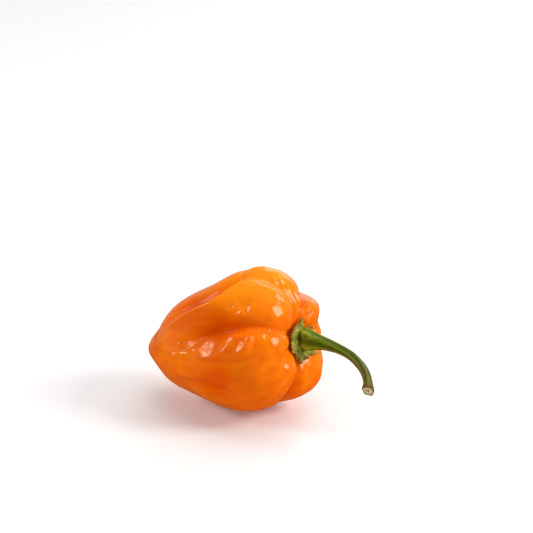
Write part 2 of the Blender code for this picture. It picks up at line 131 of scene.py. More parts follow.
# Fine creases, finer than the CAD solid has: paths of (along, around), then the height in the
# middle of the path, below 0 for a groove, and the width.
CREASES = (
    # The sharp edge of the upper lobe, and the groove behind it
    (((0.17, 56), (0.22, 51), (0.28, 52), (0.33, 52), (0.37, 50), (0.43, 46), (0.47, 43),
      (0.51, 40), (0.55, 34), (0.57, 28), (0.60, 19), (0.63, 14), (0.67, 11)), 0.50, 1.1),
    (((0.22, 46), (0.28, 47), (0.33, 47), (0.37, 44), (0.43, 40), (0.47, 37), (0.51, 34),
      (0.55, 27), (0.58, 18)), -0.50, 0.7),
    (((0.20, 42), (0.26, 42), (0.32, 38)), 0.14, 0.6),
    # The arc where the upper lobe overhangs the front furrow
    (((0.41, 71), (0.46, 67.5), (0.50, 65), (0.54, 63), (0.58, 62.5), (0.63, 62)), -0.34, 1.0),
    # The pinch in the groove, and the bands that leave it
    (((0.52, 11), (0.535, 7), (0.545, 1), (0.548, -5)), 0.34, 0.5),
    (((0.54, 14), (0.55, 8), (0.565, 2)), -0.30, 0.6),
    (((0.53, 12), (0.59, 19), (0.63, 21), (0.67, 20), (0.71, 17)), 0.14, 0.8),
    (((0.58, 5), (0.65, 11), (0.70, 13), (0.74, 11), (0.79, 6), (0.85, 6)), -0.16, 0.8),
    # The dimple's wrinkles
    (((0.68, 33), (0.70, 38), (0.69, 42), (0.67, 45), (0.63, 46.5)), 0.07, 0.6),
    (((0.60, 39), (0.625, 41), (0.64, 43)), 0.05, 0.6),
    (((0.60, 43), (0.615, 45), (0.63, 47)), 0.05, 0.6),
    # Folds below the front furrow
    (((0.545, 83), (0.575, 80), (0.60, 77), (0.615, 73)), 0.20, 0.6),
    (((0.56, 78), (0.58, 76), (0.59, 72)), -0.14, 0.7),
    (((0.58, 75), (0.60, 69)), 0.05, 0.45),
    (((0.61, 72), (0.63, 67), (0.65, 65)), 0.06, 0.5),
    (((0.64, 80), (0.67, 75), (0.69, 68), (0.70, 65)), 0.10, 0.6),
    (((0.65, 77), (0.665, 72), (0.68, 67)), -0.06, 0.5),
    (((0.48, 83), (0.51, 76), (0.52, 69)), 0.05, 0.5),
    (((0.47, 81), (0.49, 75), (0.50, 70)), -0.05, 0.5),
    (((0.34, 76), (0.38, 72)), 0.10, 0.45),
    (((0.39, 75), (0.42, 71), (0.44, 69)), 0.14, 0.5),
    (((0.29, 84), (0.36, 82.5), (0.43, 79.5)), 0.18, 0.6),
    # The belly's dent
    (((0.44, 102), (0.49, 101), (0.53, 103), (0.57, 108)), -0.60, 2.6),
    # Down from the calyx, in front and below
    (((0.95, 97), (0.89, 97), (0.83, 99), (0.77, 103), (0.70, 104)), -0.16, 0.7),
    (((0.94, 140), (0.89, 133), (0.84, 132), (0.79, 138), (0.72, 146)), 0.14, 0.8),
    (((0.91, 200), (0.87, 190), (0.82, 186), (0.77, 187)), 0.10, 0.7),
    (((0.91, -34), (0.88, -40), (0.84, -48)), 0.14, 0.5),
    (((0.92, -46), (0.88, -50), (0.84, -56)), 0.12, 0.5),
    (((0.93, -40), (0.89, -45), (0.85, -52)), -0.12, 0.5),
    # Behind and underneath
    (((0.92, -100), (0.86, -98), (0.78, -94)), 0.12, 0.7),
    (((0.62, -70), (0.50, -68), (0.40, -66)), 0.10, 0.9),
    (((0.70, 232), (0.58, 236), (0.46, 238)), 0.10, 0.9),
)
CREASE_ROUNDNESS = 0.4
# A crease starts and ends this share of half a wave in, so that its ends have some height left
CREASE_END = 0.12

# How much more a crease paints shade, a redder and darker orange, into the skin than a furrow of
# its depth does, and how much a bead clears that painted shade, so that it shows paler and shinier as a
# painted glint
CREASE_SHADE = 3.0
BEAD_GLINT = 10.0

# Places of the skin that aren't deep but are painted redder and darker as shade, and places cleared
# of painted shade under highlights where the redness is below 0: along, around, redness, half
# length, half width and turn.
PAINTED_SHADE_PATCHES = (
    (0.535, 103, 3.0, 6.0, 3.2, 35), (0.58, 44, 1.1, 6.0, 4.0, 0), (0.55, 58, 0.5, 6.0, 3.0, 10),
    (0.42, 60, 0.2, 7.0, 4.0, 0), (0.42, 112, 0.8, 5.0, 4.0, 0), (0.40, 26, 1.2, 7.0, 2.5, 0),
    (0.51, 77, -1.6, 4.0, 3.2, 68), (0.62, 71, -2.0, 3.2, 2.2, 49), (0.67, 75, -1.4, 3.2, 2.2, 49),
    (0.42, 73, -1.2, 2.2, 1.2, 16), (0.30, 96, 0.5, 6.0, 4.0, 0),
)

# The painted shade of the folds fades where they run in under the calyx: places along, and shares of it.
CALYX_SHADE_FADE = ((0.84, 0.92), (1.0, 0.1))

# A row of beads along the front furrow, which sways a little round the pod
BEAD_COUNT = 10
BEADS_START = 0.69
BEADS_STEP = 0.0225
BEADS_AROUND = 60.5
BEADS_SWAY = 2.5
BEADS_SWAY_STEP = 0.45
BEAD_HEIGHT = 0.20
BEAD_RADIUS = 0.40

# Wrinkled patches: along, around, half length, half width, turn, spacing of the wrinkles and
# their height. The wrinkles run with the patch's length.
WRINKLES = (
    (0.51, 77, 4.0, 4.0, 60, 0.7, 0.055), (0.60, 73, 2.6, 2.6, 60, 0.6, 0.040),
    (0.67, 72, 2.6, 2.6, 60, 0.7, 0.035), (0.40, 74, 3.0, 2.0, 30, 0.8, 0.05),
    (0.33, 83, 3.4, 1.4, 0, 0.8, 0.04), (0.63, 43, 3.0, 2.4, 20, 0.7, 0.040),
    (0.73, 2, 3.0, 2.4, 20, 0.8, 0.045), (0.78, 18, 2.4, 2.6, 60, 0.7, 0.045),
    (0.82, -6, 2.4, 2.4, 0, 0.8, 0.030), (0.87, -42, 2.8, 2.6, 20, 0.7, 0.06),
    (0.79, 69, 2.6, 2.6, 30, 0.8, 0.020), (0.56, -4, 2.4, 3.0, 40, 0.9, 0.06),
    (0.84, 104, 2.8, 1.8, 0, 0.9, 0.05), (0.50, 100, 4.0, 3.0, 0, 1.1, 0.05),
    (0.86, 210, 3.0, 4.0, 0, 1.0, 0.06), (0.88, 275, 3.0, 4.0, 0, 0.9, 0.08),
    (0.60, 300, 6.0, 3.0, 10, 1.2, 0.05),
)
WRINKLE_STRETCH = 3.0
# A patch ends where its wrinkles have faded to this share
WRINKLE_EDGE = 0.03
# The height of wrinkles at which the skin between them is puckered as much as it gets
PUCKERED_AT = 0.06

# Places where the skin leans so that its wax mirrors a lamp to the camera: along, around, half
# length, half width, turn, and the lamp.
GLINTS = (
    (0.775, 19, 2.1, 1.0, -15, "right_box"), (0.78, 36, 1.6, 0.8, -20, "right_box"),
    (0.73, 2, 1.5, 0.6, -5, "right_box"), (0.74, -4, 1.5, 0.6, -5, "right_box"),
    (0.82, -9, 2.0, 1.0, 15, "right_box"), (0.78, 26, 0.9, 0.4, -10, "right_box"),
    (0.86, -43, 1.3, 0.7, 25, "right_box"), (0.89, -48, 1.7, 0.6, -10, "right_box"),
    (0.76, 66, 1.0, 0.9, -30, "right_box"), (0.80, 73, 1.3, 1.0, -30, "right_box"),
    (0.85, 63, 1.0, 0.6, -20, "right_box"), (0.84, 108, 1.5, 0.9, 80, "right_box"),
    (0.505, 77, 4.2, 3.0, 68, "left_box"), (0.39, 81, 2.4, 0.8, 5, "left_box"),
    (0.33, 82.5, 2.2, 0.9, -9, "left_box"), (0.42, 73, 1.8, 0.8, 16, "left_box"),
    (0.35, 72, 0.9, 0.6, 14, "left_box"), (0.62, 71, 3.0, 1.9, 49, "left_box"),
    (0.67, 75, 3.0, 2.0, 49, "left_box"), (0.69, 68, 1.3, 0.8, 47, "left_box"),
    (0.59, 78, 1.9, 0.4, 23, "left_box"), (0.615, 41, 1.3, 0.7, 30, "left_box"),
    (0.64, 46, 1.5, 0.7, 15, "left_box"), (0.68, 42, 1.6, 0.8, 60, "left_box"),
)
# How flat a glint is, from 0 to 1, and how many rows and columns away its slope is read
GLINT_STRENGTH = 0.93
GLINT_ROWS = 2
GLINT_COLUMNS = 3

# The skin's own unevenness: size of the waves, and their height. Each size has waves of its own,
# which lie this far on in the noise, and all lie this much lower, below the CAD solid's skin.
WAVES = ((9.0, 0.12), (4.0, 0.06), (1.8, 0.030), (0.8, 0.009))
WAVES_APART = 7.3
WAVE_LEVEL = -0.24

POD_ROWS = 238
POD_COLUMNS = 400
CUTICLE_SHINE = 0.28

# The calyx: a ragged collar in the pod's hollow end. Its floor lies this far along the axis, its
# rim lifts off the pod, and it sinks a little into the folds.
CALYX_RADIUS = 4.3
CALYX_THICKNESS = 0.5
CALYX_FLOOR = 45.1
CALYX_LIFT = 0.30
CALYX_SINK = 0.8
# Teeth of its rim: angle, length, half width as an angle, and how far each curls up
CALYX_TEETH = (
    (-25, 2.0, 19, 0.5), (8, 0.5, 10, 0.2), (32, 0.3, 8, 0.3), (54, 1.6, 13, 0.4),
    (78, 1.0, 13, 0.0), (102, 1.4, 15, 0.0), (134, 0.8, 13, 0.0), (170, 1.5, 18, -0.1),
    (197, 1.3, 20, 0.1), (224, 2.5, 18, 0.5), (256, 0.5, 12, 0.1), (286, 2.6, 19, 0.5),
    (314, 0.4, 9, 0.3),
)
CALYX_TOOTH_TAPER = 1.1
# Rags between the teeth: how close they are, and how far they reach
CALYX_RAGS = ((2.6, 0.45), (9.0, 0.35))
# Its rings start under the stem, and this power crowds them towards the rim
CALYX_INNERMOST = 0.25
CALYX_CROWDING = 0.8
# The teeth curl from this share of the way out, and this sharply, and the rim lifts from this one
CALYX_CURLS_FROM = 0.55
CALYX_CURL_POWER = 1.6
CALYX_LIFTS_FROM = 0.8
# Its thickness in the middle and what it loses by the rim, as shares of the thickness above
CALYX_MIDDLE = 1.2
CALYX_THINS_BY = 0.8
# Its knobs: their height, and how far apart in the noise those above and below are
CALYX_KNOBS = 0.45
CALYX_KNOBS_APART = 5.0
# Its veins: their height, how much narrower than a tooth they are, and how far out they'd be gone
CALYX_VEINS = 0.18
CALYX_VEIN_NARROWNESS = 4
CALYX_VEINS_END = 1.3
CALYX_COLUMNS = 240
CALYX_RINGS = 40

# The stem, from its flared foot to its cut end. Its foot stands this far over the calyx's floor.
STEM_STANDS_OVER = 1.2
STEM_LENGTH = 30.3
# It bends by this angle towards this side, more of it near the cut where the onset is over 1
STEM_BEND = 75.0
STEM_BEND_TOWARDS = (0.08, -0.89, -0.45)
STEM_BEND_ONSET = 1.25
# Its foot lies this far off the pod's axis, and it steps back across it over its first part
STEM_OFF_AXIS = 1.1
STEM_STEP = 2.0
STEM_STEP_OVER = 5.0
# Length along it, and radius
STEM_RADII = (
    (0.0, 2.7), (0.5, 3.0), (1.8, 2.85), (3.6, 2.3), (5.8, 1.82), (9.3, 1.42), (15.0, 1.18),
    (24.0, 1.14), (27.6, 1.17), (29.4, 1.42), (30.3, 1.46),
)
# Its ribs: how many, how deep for the radius, how high on a rib that radius is, and how much
# deeper they are at the foot and over what length
STEM_RIBS = 5
STEM_RIB_DEPTH = 0.05
STEM_RIB_LEVEL = 0.6
STEM_FOOT_RIBS = 0.06
STEM_FOOT_LENGTH = 4.0
# How lumpy it is, and how fast the lumps change round it and along it
STEM_LUMPS = 0.08
STEM_LUMPS_ROUND = 2.5
STEM_LUMPS_ALONG = 0.3
# The ribs turn by this angle over its length, from this angle at its foot
STEM_TWIST = 40.0
STEM_RIB_AT = -78.0
# The pinkish-brown strip on the side that faces down: its middle, the cosine at its sides and how
# much more makes it full, where it starts along the stem and over what share it comes in, and how
# brown it is.
UNDERSIDE_AT = 28.0
UNDERSIDE_EDGE = 0.72
UNDERSIDE_BLUR = 0.2
UNDERSIDE_FROM = 0.2
UNDERSIDE_COMES_IN = 0.12
UNDERSIDE_BROWN = 0.8
# The fibres of the bark are this many times longer than they are wide
STEM_FIBRE_STRETCH = 9.0
# The cut leans off square by this slope, is longest at this angle, and draws the last bark along.
CUT_SLOPE = 0.28
CUT_LONGEST_AT = 160.0
CUT_DRAWS = 4.0
# The cut face: share of the radius, depth along the stem and how browned, ring by ring.
CUT_FACE = (
    (1.01, -0.25, 1.0), (1.03, 0.05, 1.0), (0.98, 0.22, 1.0), (0.90, 0.25, 1.0), (0.84, 0.18, 0.8),
    (0.78, 0.10, 0.0), (0.60, 0.12, 0.0), (0.40, 0.06, 0.0), (0.20, 0.0, 0.3),
)
STEM_COLUMNS = 120
STEM_RINGS = 300
STEM_FINE_STEPS = 560

# The photograph's camera: its lens, how it looks down and from which side, where the pod's
# middle falls in its picture, and how large a millimetre is there.
PICTURE = 533
LENS = 100.0
SENSOR = 36.0
CAMERA_AZIMUTH = 27.0
CAMERA_ELEVATION = 19.0
AIM_ALONG_AXIS = 27.0
AIM_PIXEL = (238.0, 341.0)
PIXELS_PER_MM = 3.8

# Soft boxes: right of the camera, towards it and up, in metres from the pod, then width and
# watts.
SOFT_BOXES = {
    "right_box": (1.20, 0.25, 0.85, 0.54, 16.0),
    "left_box": (-1.25, 0.05, 0.75, 0.38, 7.6),
    "back_box": (0.45, -1.30, 0.60, 0.90, 4.0),
    "ceiling_box": (0.30, -0.40, 1.40, 1.60, 14.0),
}

# The room's colours at these heights, from 0 straight down to 1 straight up, with the horizon at
# 0.5. The wax mirrors the lower ones in place of the floor.
ROOM_LIGHT = ((0.36, "#a0603e"), (0.42, "#b8aea0"), (0.51, "#b8aea0"), (0.60, "#929292"))
ROOM_BRIGHTNESS = 1.0
FLOOR_WIDTH = 6.0
FLOOR_GLOW = 0.12


def smooth_through(points, per_span):
    """Rows of a smooth curve through the points, each a row of as many numbers as they have."""
    p = np.array(points, float)
    padded = np.vstack([2 * p[0] - p[1], p, 2 * p[-1] - p[-2]])
    t = np.linspace(0, 1, per_span, endpoint=False)[:, None]
    spans = []
    for a, b, c, d in zip(padded, padded[1:], padded[2:], padded[3:]):
        bend = 2 * a - 5 * b + 4 * c - d
        twist = 3 * b - a - 3 * c + d
        spans.append(b + t * ((c - a) + t * (bend + t * twist)) / 2)
    return np.vstack([*spans, p[-1]])


def profile_table():
    """The outline as dense rows of share of its length, distance from the tip and radius."""
    line = smooth_through(PROFILE, PROFILE_STEPS)
    line[:, 1] = np.maximum(line[:, 1], 0)
    steps = np.linalg.norm(np.diff(line, axis=0), axis=1)
    share = np.concatenate([[0], np.cumsum(steps)]) / steps.sum()
    return np.column_stack([share, line])


OUTLINE = profile_table()
AXIS = np.array([1.0, 0.0, 0.0])
# A step along the skin, short enough to give its direction
SHORT_STEP = 0.01


def round_axis(around):
    """Directions out from the axis, at these angles round it."""
    turn = np.radians(around)
    return np.stack([np.zeros_like(turn), -np.sin(turn), np.cos(turn)], axis=-1)


def smooth_skin(along, around):
    """Points and outward normals of the pod before its lobes."""
    along, around = np.broadcast_arrays(np.asarray(along, float), np.asarray(around, float))
    share, x, r = OUTLINE.T
    slope_x = np.interp(along, share, np.gradient(x, share))[..., None]
    slope_r = np.interp(along, share, np.gradient(r, share))[..., None]
    out = round_axis(around)
    points = np.interp(along, share, x)[..., None] * AXIS + np.interp(along, share, r)[..., None] * out
    normals = slope_x * out - slope_r * AXIS
    return points, normals / np.linalg.norm(normals, axis=-1, keepdims=True)


def fold_height(points, path, roundness):
    """The height of a fold at these points: its crest follows the path and its sides ease out."""
    rows = smooth_through(path, PATH_STEPS)
    line, _ = smooth_skin(rows[:, 0], rows[:, 1])
    reach = FOLD_REACH * rows[:, 3].max()
    near = np.where(np.all((points > line.min(0) - reach) & (points < line.max(0) + reach), axis=1))[0]
    spots = points[near]
    distances = []
    heights = []
    widths = []
    for here, ahead, row, next_row in zip(line, line[1:], rows, rows[1:]):
        span = ahead - here
        t = np.clip((spots - here) @ span / (span @ span), 0, 1)
        distances.append(np.linalg.norm(spots - here - t[:, None] * span, axis=1))
        heights.append(row[2] + t * (next_row[2] - row[2]))
        widths.append(row[3] + t * (next_row[3] - row[3]))
    distances = np.stack(distances)
    nearest = distances.min(axis=0)
    weights = np.exp((nearest - distances) / FOLD_SOFTNESS)
    weights /= weights.sum(axis=0)
    height = (weights * heights).sum(axis=0)
    width = (weights * widths).sum(axis=0)
    blunt = roundness * width
    rise = np.zeros(len(points))
    rise[near] = height * np.exp(-FOLD_FALL * (np.hypot(nearest, blunt) - blunt) / width)
    return rise


def patch_frame(points, along, around, turn):
    """Where the points lie from this place on the skin: forward, sideways and outward."""
    centre, normal = smooth_skin(along, around)
    ahead, _ = smooth_skin(along + SHORT_STEP, around)
    forward = ahead - centre
    forward -= forward @ normal * normal
    forward /= np.linalg.norm(forward)
    side = np.cross(normal, forward)
    c = math.cos(math.radians(turn))
    s = math.sin(math.radians(turn))
    offset = points - centre
    return offset @ (c * forward + s * side), offset @ (c * side - s * forward), offset @ normal


def mound(points, along, around, height, length, width, turn):
    """How far a smooth oval mound raises the skin at these points."""
    u, v, w = patch_frame(points, along, around, turn)
    return height * np.exp(-((u / length) ** 2 + (v / width) ** 2 + (w / max(length, width)) ** 2))


def wrinkle_height(points, along, around, length, width, turn, spacing, height):
    """Wrinkles that run with a patch's length and fade towards its edge, and how they fade."""
    mask = mound(points, along, around, 1.0, length, width, turn)
    u, v, _ = patch_frame(points, along, around, turn)
    rise = np.zeros(len(points))
    # Each patch has wrinkles of its own, from its own place in the noise
    own_place = 10 * along + around
    for k in np.where(mask > WRINKLE_EDGE)[0]:
        spot = Vector((u[k] / (spacing * WRINKLE_STRETCH), v[k] / spacing, own_place))
        rise[k] = height * mask[k] * 2 * noise.noise(spot)
    return rise, mask


def waves(points):
    """The skin's own unevenness at these points."""
    rise = np.full(len(points), WAVE_LEVEL)
    for k, (size, height) in enumerate(WAVES):
        spots = points / size + WAVES_APART * k
        rise += height * np.array([noise.noise(Vector(spot)) for spot in spots])
    return rise


def tapered(path, height, width):
    """A crease's path with its height, which fades at both ends, and its width."""
    shares = np.linspace(CREASE_END, 1 - CREASE_END, len(path))
    return [(a, b, height * math.sin(math.pi * t), width) for (a, b), t in zip(path, shares)]


def pod_relief(along, around):
    """Points and normals of the pod before its lobes, how far these raise it, and the furrows."""
    points, normals = smooth_skin(along, around)
    points = points.reshape(-1, 3)
    depths = np.stack([np.maximum(fold_height(points, *furrow), 0) for furrow in FURROWS])
    furrow = np.sum(depths**FURROW_BLEND, axis=0) ** (1 / FURROW_BLEND)
    rise = -furrow
    for crest in CRESTS:
        rise += fold_height(points, *crest)
    for swelling in SWELLINGS:
        rise += mound(points, *swelling)
    return points, normals.reshape(-1, 3), rise, furrow


def droop(skin):
    """The skin with its tip let down."""
    skin[:, 2] -= TIP_DROOP * np.clip(1 - skin[:, 0] / TIP_BEND, 0, None) ** 2
    return skin


def pod_skin(along, around):
    """Points of the pod's skin without its fine relief, in its own frame."""
    shape = np.broadcast(along, around).shape
    points, normals, rise, _ = pod_relief(along, around)
    return droop(points + rise[:, None] * normals).reshape(*shape, 3)


def to_world(points):
    """Points of the pod's frame, where it lies: tilted so that the stem end is the higher."""
    c = math.cos(math.radians(POD_PITCH))
    s = math.sin(math.radians(POD_PITCH))
    x, y, z = np.moveaxis(np.asarray(points, float), -1, 0)
    x = x - POD_OVER_ORIGIN
    return np.stack([x * c - z * s, y, x * s + z * c + POD_AXIS_HEIGHT], axis=-1)


def unit(vector):
    """The vector at length 1."""
    return vector / np.linalg.norm(vector)


def camera_axes():
    """The camera's right, up and backward directions."""
    a = math.radians(CAMERA_AZIMUTH)
    e = math.radians(CAMERA_ELEVATION)
    back = np.array([math.sin(a) * math.cos(e), -math.cos(a) * math.cos(e), math.sin(e)])
    right = np.array([math.cos(a), math.sin(a), 0.0])
    return right, np.cross(back, right), back


def camera_place():
    """Where the photograph was taken from."""
    right, up, back = camera_axes()
    focal = LENS / SENSOR * PICTURE
    ray = (AIM_PIXEL[0] - PICTURE / 2) / focal * right - (AIM_PIXEL[1] - PICTURE / 2) / focal * up - back
    return to_world(AIM_ALONG_AXIS * AXIS) - ray * focal / PIXELS_PER_MM


def place_camera():
    """The photograph's view of the pepper."""
    right, up, back = camera_axes()
    spot = camera_place() * MM
    lens = bpy.data.cameras.new("photo_camera")
    lens.lens = LENS
    lens.sensor_width = SENSOR
    lens.clip_start = 0.01
    lens.dof.use_dof = False
    camera = bpy.data.objects.new("photo_camera", lens)
    bpy.context.scene.collection.objects.link(camera)
    turn = Matrix([[right[k], up[k], back[k], spot[k]] for k in range(3)] + [[0, 0, 0, 1]])
    camera.matrix_world = turn
    bpy.context.scene.camera = camera


def lamp_place(name):
    """Where a soft box stands."""
    right, _, back = camera_axes()
    towards_camera = unit(np.array([back[0], back[1], 0.0]))
    sideways, towards, height, _, _ = SOFT_BOXES[name]
    return (sideways * right + towards * towards_camera + np.array([0, 0, height])) / MM


def angles(columns):
    """Equal steps round the axis."""
    return np.arange(columns) * 360 / columns


def ringed_body(name, rings, node, material, marks=None):
    """A closed skin through rings of points, with marks that its material reads."""
    rows, columns = rings.shape[:2]
    ends = rings[[0, -1]].mean(axis=1)
    points = np.vstack([rings.reshape(-1, 3), ends]) * MM
    index = np.arange(rows * columns).reshape(rows, columns)
    beside = np.roll(index, -1, axis=1)
    quads = np.stack([index[:-1], beside[:-1], beside[1:], index[1:]], axis=-1).reshape(-1, 4)
    first = np.stack([beside[0], index[0], np.full(columns, rows * columns)], axis=-1)
    last = np.stack([index[-1], beside[-1], np.full(columns, rows * columns + 1)], axis=-1)
    mesh = bpy.data.meshes.new(name)
    mesh.from_pydata(points.tolist(), [], [*quads.tolist(), *first.tolist(), *last.tolist()])
    for mark, values in (marks or {}).items():
        grid = np.asarray(values, float).reshape(rows, columns)
        flat = np.concatenate([grid.ravel(), grid[[0, -1]].mean(axis=1)])
        mesh.attributes.new(mark, "FLOAT", "POINT").data.foreach_set("value", flat)
    mesh.shade_smooth()
    mesh.materials.append(material)
    body = bpy.data.objects.new(name, mesh)
    bpy.context.scene.collection.objects.link(body)
    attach(body, "root")
    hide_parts(node)
    return body


def shade(hex_colour):
    """An sRGB hex colour as the linear colour that a socket takes."""
    parts = [int(hex_colour[k:k + 2], 16) / 255 for k in (1, 3, 5)]
    linear = [p / 12.92 if p <= 0.04045 else ((p + 0.055) / 1.055) ** 2.4 for p in parts]
    return (*linear, 1.0)


def open_socket(sockets, name=None):
    """The first socket in use, or the first in use of this name."""
    return next(socket for socket in sockets if socket.enabled and name in (None, socket.name))


def add_node(tree, kind, settings=None, links=None, out=None):
    """Adds a node with its settings and the outputs that feed it, and gives its own output."""
    node = tree.nodes.new("ShaderNode" + kind)
    for name, value in (settings or {}).items():
        if name == "stops":
            elements = node.color_ramp.elements
            while len(elements) < len(value):
                elements.new(1.0)
            for element, (place, hex_colour) in zip(elements, value):
                element.position = place
                element.color = shade(hex_colour)
        elif hasattr(node, name):
            setattr(node, name, value)
        else:
            open_socket(node.inputs, name).default_value = value
    for name, source in (links or {}).items():
        tree.links.new(source, open_socket(node.inputs, name))
    return open_socket(node.outputs, out)


def blank_material(name, settings):
    """A material whose shader has these constant settings, with its node tree and its shader."""
    material = bpy.data.materials.new(name)
    material.use_nodes = True
    shader = material.node_tree.nodes["Principled BSDF"]
    for socket, value in settings.items():
        shader.inputs[socket].default_value = value
    return material, material.node_tree, shader.inputs


def waxy_pepper_cuticle():
    """Ripe habanero skin: cells full of orange pigment under a smooth cuticle of natural wax.

    The pigment gives a deep clear orange, and the wax gives small sharp highlights that are warmed
    by the pigment under them. Shade is painted into the folds as a redder, darker orange and a
    darker shine, and light from above is painted on the top as a yellower orange.
    """
    material, tree, shader = blank_material("waxy_pepper_cuticle", {
        "IOR": 1.45,
        "Specular IOR Level": CUTICLE_SHINE,
        "Subsurface Weight": 0.12,
        "Subsurface Radius": (1.0, 0.3, 0.05),
        "Subsurface Scale": 2.5 * MM,
    })
    place = add_node(tree, "TexCoord", out="Object")
    # Strands of flesh under the skin, 2.5 mm apart, run from the tip to the calyx
    lengthwise = add_node(tree, "Mapping", {
        "vector_type": "TEXTURE",
        "Rotation": (0.0, -math.radians(POD_PITCH), 0.0),
        "Scale": (7.0, 1.0, 1.0),
    }, {"Vector": place})
    strands = add_node(tree, "TexNoise", {"Scale": 1 / (2.5 * MM), "Detail": 2.0}, {"Vector": lengthwise})
    flesh = add_node(tree, "ValToRGB", {
        "stops": ((0.30, "#ee6800"), (0.50, "#f47200"), (0.72, "#fc7e00")),
    }, {"Fac": strands})
    redder_flesh_and_fold_shade = add_node(tree, "ValToRGB", {
        "stops": ((0.30, "#dc4800"), (0.70, "#e65400")),
    }, {"Fac": strands})
    # Ripeness drifts over the pod in patches of about 14 mm
    drift = add_node(tree, "TexNoise", {"Scale": 1 / (14 * MM), "Detail": 1.0}, {"Vector": place})
    riper = add_node(tree, "MapRange", {
        "From Min": 0.42, "From Max": 0.68, "To Max": 0.35,
    }, {"Value": drift})
    ripe = add_node(tree, "Mix", {"data_type": "RGBA"}, {"Factor": riper, "A": flesh, "B": redder_flesh_and_fold_shade})
    # Painted shade: skin in a fold is painted a redder, darker orange, more so where the fold mark is
    # deeper
    hollow = add_node(tree, "Attribute", {"attribute_name": "hollow"}, out="Fac")
    fold_shading = add_node(tree, "MapRange", {
        "From Min": 0.8, "From Max": 3.4, "To Max": 0.75,
    }, {"Value": hollow})
    colour = add_node(tree, "Mix", {"data_type": "RGBA"}, {"Factor": fold_shading, "A": ripe, "B": redder_flesh_and_fold_shade})
    # Painted light: the upper 8 mm is painted a paler, yellower orange, as though lit more from above
    height = add_node(tree, "SeparateXYZ", links={"Vector": place}, out="Z")
    painted_top_light = add_node(tree, "MapRange", {
        "From Min": 29 * MM, "From Max": 37 * MM, "To Max": 0.60,
    }, {"Value": height})
    colour = add_node(tree, "Mix", {
        "data_type": "RGBA", "B": shade("#ff9a10"),
    }, {"Factor": painted_top_light, "A": colour})
    tree.links.new(colour, shader["Base Color"])
    # The wax is thinner in patches of about 1.6 mm
    wax = add_node(tree, "TexNoise", {"Scale": 1 / (1.6 * MM), "Detail": 3.0}, {"Vector": place})
    gloss = add_node(tree, "MapRange", {
        "From Min": 0.3, "From Max": 0.7, "To Min": 0.10, "To Max": 0.20,
    }, {"Value": wax})
    tree.links.new(gloss, shader["Roughness"])
    # Painted shade: down in a fold the shine is tinted dark, which darkens the reflections there
    fold_shine_shade = add_node(tree, "MapRange", {"From Min": 1.1, "From Max": 2.4}, {"Value": hollow})
    shine = add_node(tree, "Mix", {
        "data_type": "RGBA", "A": shade("#ffedcc"), "B": shade("#5c3014"),
    }, {"Factor": fold_shine_shade})
    tree.links.new(shine, shader["Specular Tint"])
    # Rows of skin cells are 0.05 mm apart, too fine to show, so they are drawn 0.45 mm apart
    cells = add_node(tree, "TexNoise", {"Scale": 1 / (0.45 * MM), "Detail": 2.0}, {"Vector": place})
    raised = add_node(tree, "Bump", {"Distance": 0.012 * MM}, {"Height": cells})
    # Where the skin has shrunk it puckers, 0.9 mm from pucker to pucker
    lines = add_node(tree, "TexNoise", {
        "Scale": 1 / (0.9 * MM), "Detail": 1.5, "Distortion": 1.2,
    }, {"Vector": place})
    puckered = add_node(tree, "Attribute", {"attribute_name": "puckered"}, out="Fac")
    raised = add_node(tree, "Bump", {"Distance": 0.11 * MM}, {
        "Height": lines, "Strength": puckered, "Normal": raised,
    })
    tree.links.new(raised, shader["Normal"])
    return material


def drying_calyx_leaf():
    """A calyx some days off the plant: leathery leaf, olive, brown and brittle at its rim."""
    material, tree, shader = blank_material("drying_calyx_leaf", {
        "Roughness": 0.5, "IOR": 1.4, "Specular IOR Level": 0.3,
    })
    place = add_node(tree, "TexCoord", out="Object")
    # Patches that dry at their own pace, about 1.2 mm across
    patches = add_node(tree, "TexNoise", {
        "Scale": 1 / (1.2 * MM), "Detail": 4.0, "Roughness": 0.65,
    }, {"Vector": place})
    leaf = add_node(tree, "ValToRGB", {
        "stops": ((0.32, "#2e2c06"), (0.42, "#76741a"), (0.54, "#9f9a2c"), (0.72, "#cabf60")),
    }, {"Fac": patches})
    brown = add_node(tree, "ValToRGB", {
        "stops": ((0.30, "#4a3410"), (0.46, "#8a6a2c"), (0.70, "#c6ad6c")),
    }, {"Fac": patches})
    reach = add_node(tree, "Attribute", {"attribute_name": "reach"}, out="Fac")
    rim = add_node(tree, "MapRange", {"From Min": 0.80, "To Max": 0.9}, {"Value": reach})
    leathery = add_node(tree, "Mix", {"data_type": "RGBA"}, {"Factor": rim, "A": leaf, "B": brown})
    # The veins that run out to the teeth stay green longest
    vein = add_node(tree, "Attribute", {"attribute_name": "vein"}, out="Fac")
    green = add_node(tree, "ValToRGB", {
        "stops": ((0.35, "#5e6a10"), (0.65, "#9aa43c")),
    }, {"Fac": patches})
    colour = add_node(tree, "Mix", {"data_type": "RGBA"}, {"Factor": vein, "A": leathery, "B": green})
    tree.links.new(colour, shader["Base Color"])
    # The leaf's cells shrink as they dry, into wrinkles 0.5 mm apart
    wrinkled = add_node(tree, "TexNoise", {
        "Scale": 1 / (0.5 * MM), "Detail": 4.0, "Roughness": 0.7,
    }, {"Vector": place})
    raised = add_node(tree, "Bump", {"Distance": 0.15 * MM}, {"Height": wrinkled})
    tree.links.new(raised, shader["Normal"])
    return material


